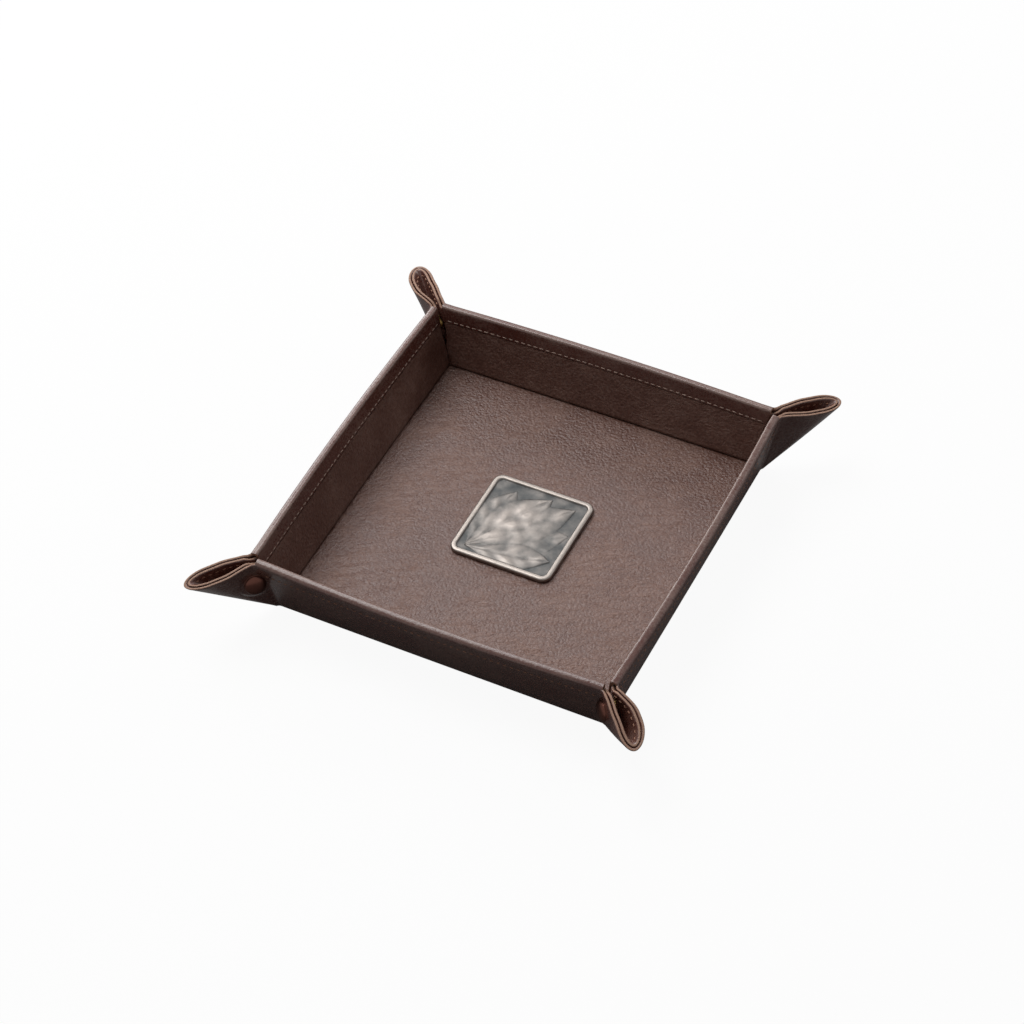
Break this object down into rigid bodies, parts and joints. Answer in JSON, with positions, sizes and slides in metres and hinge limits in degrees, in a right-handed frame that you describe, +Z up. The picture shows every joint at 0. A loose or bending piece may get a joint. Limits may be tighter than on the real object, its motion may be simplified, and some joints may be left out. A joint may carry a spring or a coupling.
{
  "type": "entryway tray",
  "caption": "Square leather tray for an entryway, with leaning padded walls, a stitched rim, snapped corner ears that open so it lies flat, and a cast plaque on the floor.",
  "frame": {"origin": "on the ground under the middle of the floor", "axes": "+X to the right wall, +Y to the back wall, +Z up; the caps of the snaps are on the front and back walls' ears"},
  "size_m": [0.2708, 0.2708, 0.0437],
  "materials": {
    "leather_outside": "waxed dark brown, semi-gloss",
    "leather_inside": "waxed brown with pull-up marks, semi-gloss",
    "greyboard": "matt paper board",
    "thread": "waxed tan polyester thread",
    "lacquered_brass": "brown lacquered, satin",
    "plain_brass": "plain, satin",
    "pewter": "antique pewter on cast zinc alloy, rubbed bright on the high places",
    "adhesive_tape": "white foam tape"
  },
  "bodies": {
    "base": {"base_outer_leather": "leather_outside", "floor_board": "greyboard", "floor_lining": "leather_inside", "plaque_adhesive": "adhesive_tape", "plaque": "pewter"},
    "front_wall": {"front_wall_outer_leather": "leather_outside", "front_wall_board": "greyboard", "front_wall_lining": "leather_inside", "front_wall_seam_thread": "thread"},
    "front_left_cap_half": {"front_left_cap_half_outer": "leather_outside", "front_left_cap_half_lining": "leather_inside", "front_left_snap_cap": "lacquered_brass", "front_left_snap_socket": "plain_brass"},
    "front_right_cap_half": {"front_right_cap_half_outer": "leather_outside", "front_right_cap_half_lining": "leather_inside", "front_right_snap_cap": "lacquered_brass", "front_right_snap_socket": "plain_brass"},
    "right_wall": {"right_wall_outer_leather": "leather_outside", "right_wall_board": "greyboard", "right_wall_lining": "leather_inside", "right_wall_seam_thread": "thread"},
    "front_right_stud_half": {"front_right_stud_half_outer": "leather_outside", "front_right_stud_half_lining": "leather_inside", "front_right_snap_stud": "plain_brass", "front_right_snap_post": "plain_brass"},
    "back_right_stud_half": {"back_right_stud_half_outer": "leather_outside", "back_right_stud_half_lining": "leather_inside", "back_right_snap_stud": "plain_brass", "back_right_snap_post": "plain_brass"},
    "back_wall": {"back_wall_outer_leather": "leather_outside", "back_wall_board": "greyboard", "back_wall_lining": "leather_inside", "back_wall_seam_thread": "thread"},
    "back_right_cap_half": {"back_right_cap_half_outer": "leather_outside", "back_right_cap_half_lining": "leather_inside", "back_right_snap_cap": "lacquered_brass", "back_right_snap_socket": "plain_brass"},
    "back_left_cap_half": {"back_left_cap_half_outer": "leather_outside", "back_left_cap_half_lining": "leather_inside", "back_left_snap_cap": "lacquered_brass", "back_left_snap_socket": "plain_brass"},
    "left_wall": {"left_wall_outer_leather": "leather_outside", "left_wall_board": "greyboard", "left_wall_lining": "leather_inside", "left_wall_seam_thread": "thread"},
    "back_left_stud_half": {"back_left_stud_half_outer": "leather_outside", "back_left_stud_half_lining": "leather_inside", "back_left_snap_stud": "plain_brass", "back_left_snap_post": "plain_brass"},
    "front_left_stud_half": {"front_left_stud_half_outer": "leather_outside", "front_left_stud_half_lining": "leather_inside", "front_left_snap_stud": "plain_brass", "front_left_snap_post": "plain_brass"}
  },
  "joints": [
    {"name": "front_wall_fold", "type": "hinge", "parent": "base", "child": "front_wall", "pos_m": [0, -0.1, 0], "axis": [1, 0, 0], "range_deg": [0, 74.5]},
    {"name": "front_left_cap_half_fold", "type": "hinge", "parent": "front_wall", "child": "front_left_cap_half", "pos_m": [-0.09852, -0.1003, 0], "axis": [0, 0.2079, -0.9781], "range_deg": [0, 36.5]},
    {"name": "front_right_cap_half_fold", "type": "hinge", "parent": "front_wall", "child": "front_right_cap_half", "pos_m": [0.09852, -0.1003, 0], "axis": [0, -0.2079, 0.9781], "range_deg": [0, 36.5]},
    {"name": "right_wall_fold", "type": "hinge", "parent": "base", "child": "right_wall", "pos_m": [0.1, 0, 0], "axis": [0, 1, 0], "range_deg": [0, 74.5]},
    {"name": "front_right_stud_half_fold", "type": "hinge", "parent": "right_wall", "child": "front_right_stud_half", "pos_m": [0.1003, -0.09852, 0], "axis": [-0.2079, 0, -0.9781], "range_deg": [0, 36.5]},
    {"name": "back_right_stud_half_fold", "type": "hinge", "parent": "right_wall", "child": "back_right_stud_half", "pos_m": [0.1003, 0.09852, 0], "axis": [0.2079, 0, 0.9781], "range_deg": [0, 36.5]},
    {"name": "back_wall_fold", "type": "hinge", "parent": "base", "child": "back_wall", "pos_m": [0, 0.1, 0], "axis": [-1, 0, 0], "range_deg": [0, 74.5]},
    {"name": "back_right_cap_half_fold", "type": "hinge", "parent": "back_wall", "child": "back_right_cap_half", "pos_m": [0.09852, 0.1003, 0], "axis": [0, -0.2079, -0.9781], "range_deg": [0, 36.5]},
    {"name": "back_left_cap_half_fold", "type": "hinge", "parent": "back_wall", "child": "back_left_cap_half", "pos_m": [-0.09852, 0.1003, 0], "axis": [0, 0.2079, 0.9781], "range_deg": [0, 36.5]},
    {"name": "left_wall_fold", "type": "hinge", "parent": "base", "child": "left_wall", "pos_m": [-0.1, 0, 0], "axis": [0, -1, 0], "range_deg": [0, 74.5]},
    {"name": "back_left_stud_half_fold", "type": "hinge", "parent": "left_wall", "child": "back_left_stud_half", "pos_m": [-0.1003, 0.09852, 0], "axis": [0.2079, 0, -0.9781], "range_deg": [0, 36.5]},
    {"name": "front_left_stud_half_fold", "type": "hinge", "parent": "left_wall", "child": "front_left_stud_half", "pos_m": [-0.1003, -0.09852, 0], "axis": [-0.2079, 0, 0.9781], "range_deg": [0, 36.5]}
  ],
  "couplings": [
    {"joint": "front_left_cap_half_fold", "follows": "front_wall_fold", "ratio": 0.48993},
    {"joint": "front_right_cap_half_fold", "follows": "front_wall_fold", "ratio": 0.48993},
    {"joint": "right_wall_fold", "follows": "front_wall_fold", "ratio": 1},
    {"joint": "front_right_stud_half_fold", "follows": "front_wall_fold", "ratio": 0.48993},
    {"joint": "back_right_stud_half_fold", "follows": "front_wall_fold", "ratio": 0.48993},
    {"joint": "back_wall_fold", "follows": "front_wall_fold", "ratio": 1},
    {"joint": "back_right_cap_half_fold", "follows": "front_wall_fold", "ratio": 0.48993},
    {"joint": "back_left_cap_half_fold", "follows": "front_wall_fold", "ratio": 0.48993},
    {"joint": "left_wall_fold", "follows": "front_wall_fold", "ratio": 1},
    {"joint": "back_left_stud_half_fold", "follows": "front_wall_fold", "ratio": 0.48993},
    {"joint": "front_left_stud_half_fold", "follows": "front_wall_fold", "ratio": 0.48993}
  ]
}
